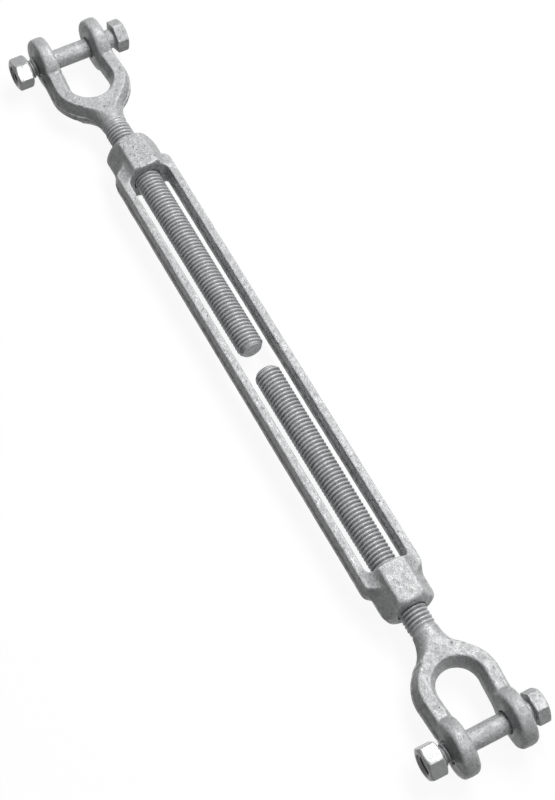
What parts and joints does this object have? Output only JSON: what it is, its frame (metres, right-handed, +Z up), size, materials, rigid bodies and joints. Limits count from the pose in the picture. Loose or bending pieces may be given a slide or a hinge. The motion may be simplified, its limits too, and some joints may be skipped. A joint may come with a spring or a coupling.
{
  "type": "rigging turnbuckle",
  "caption": "Galvanised jaw and jaw rigging turnbuckle: a forged open body whose turning draws a right-hand and a left-hand screwed jaw in or out together, each closed by a bolt and nut.",
  "frame": {"origin": "midway between the two jaw bolts, on the screw axis", "axes": "+X along the screws towards the left-hand end, +Y along the jaw bolts towards their heads, +Z up, square to the slot"},
  "size_m": [0.4214, 0.0599, 0.0264],
  "materials": {
    "galvanised_forging": "hot-dip galvanised forging, matt grey with bright patches and small dark pits",
    "galvanised_thread": "hot-dip galvanised thread, grey with brighter crests",
    "galvanised_bolt": "hot-dip galvanised bolt, matt grey with dark pits",
    "bright_nut": "zinc-plated nut with smooth bright flats"
  },
  "bodies": {
    "left_hand_jaw": {"left_hand_jaw": "galvanised_forging"},
    "left_hand_screw": {"left_hand_screw": "galvanised_thread"},
    "body": {"body": "galvanised_forging"},
    "right_hand_screw": {"right_hand_screw": "galvanised_thread"},
    "right_hand_jaw": {"right_hand_jaw": "galvanised_forging"},
    "left_hand_bolt": {"left_hand_bolt": "galvanised_bolt"},
    "left_hand_nut": {"left_hand_nut": "bright_nut"},
    "right_hand_bolt": {"right_hand_bolt": "galvanised_bolt"},
    "right_hand_nut": {"right_hand_nut": "bright_nut"}
  },
  "joints": [
    {"name": "body_turn", "type": "hinge", "parent": "left_hand_jaw", "child": "left_hand_screw", "pos_m": [0.14785, 0, 0], "axis": [1, 0, 0], "range_deg": [-1080, 19440]},
    {"name": "left_hand_travel", "type": "slide", "parent": "left_hand_screw", "child": "body", "axis": [-1, 0, 0], "range_m": [-0.00587, 0.10553]},
    {"name": "right_hand_travel", "type": "slide", "parent": "body", "child": "right_hand_screw", "axis": [-1, 0, 0], "range_m": [-0.00587, 0.10553]},
    {"name": "right_hand_swivel", "type": "hinge", "parent": "right_hand_screw", "child": "right_hand_jaw", "pos_m": [-0.14785, 0, 0], "axis": [-1, 0, 0], "range_deg": [-1081, 19441]},
    {"name": "left_hand_nut_turn", "type": "hinge", "parent": "left_hand_jaw", "child": "left_hand_nut", "pos_m": [0.1975, -0.026, 0], "axis": [0, -1, 0], "range_deg": [-360, 1080]},
    {"name": "left_hand_bolt_travel", "type": "slide", "parent": "left_hand_jaw", "child": "left_hand_bolt", "axis": [0, 1, 0], "range_m": [-0.00159, 0.00477]},
    {"name": "right_hand_nut_turn", "type": "hinge", "parent": "right_hand_jaw", "child": "right_hand_nut", "pos_m": [-0.1975, -0.025, 0], "axis": [0, -1, 0], "range_deg": [-720, 540]},
    {"name": "right_hand_bolt_travel", "type": "slide", "parent": "right_hand_jaw", "child": "right_hand_bolt", "axis": [0, 1, 0], "range_m": [-0.00318, 0.00239]}
  ],
  "couplings": [
    {"joint": "left_hand_travel", "follows": "body_turn", "m_per_rad": 0.00031099},
    {"joint": "right_hand_travel", "follows": "body_turn", "m_per_rad": 0.00031099},
    {"joint": "right_hand_swivel", "follows": "body_turn", "ratio": 1},
    {"joint": "left_hand_bolt_travel", "follows": "left_hand_nut_turn", "m_per_rad": 0.00025266},
    {"joint": "right_hand_bolt_travel", "follows": "right_hand_nut_turn", "m_per_rad": 0.00025266}
  ]
}
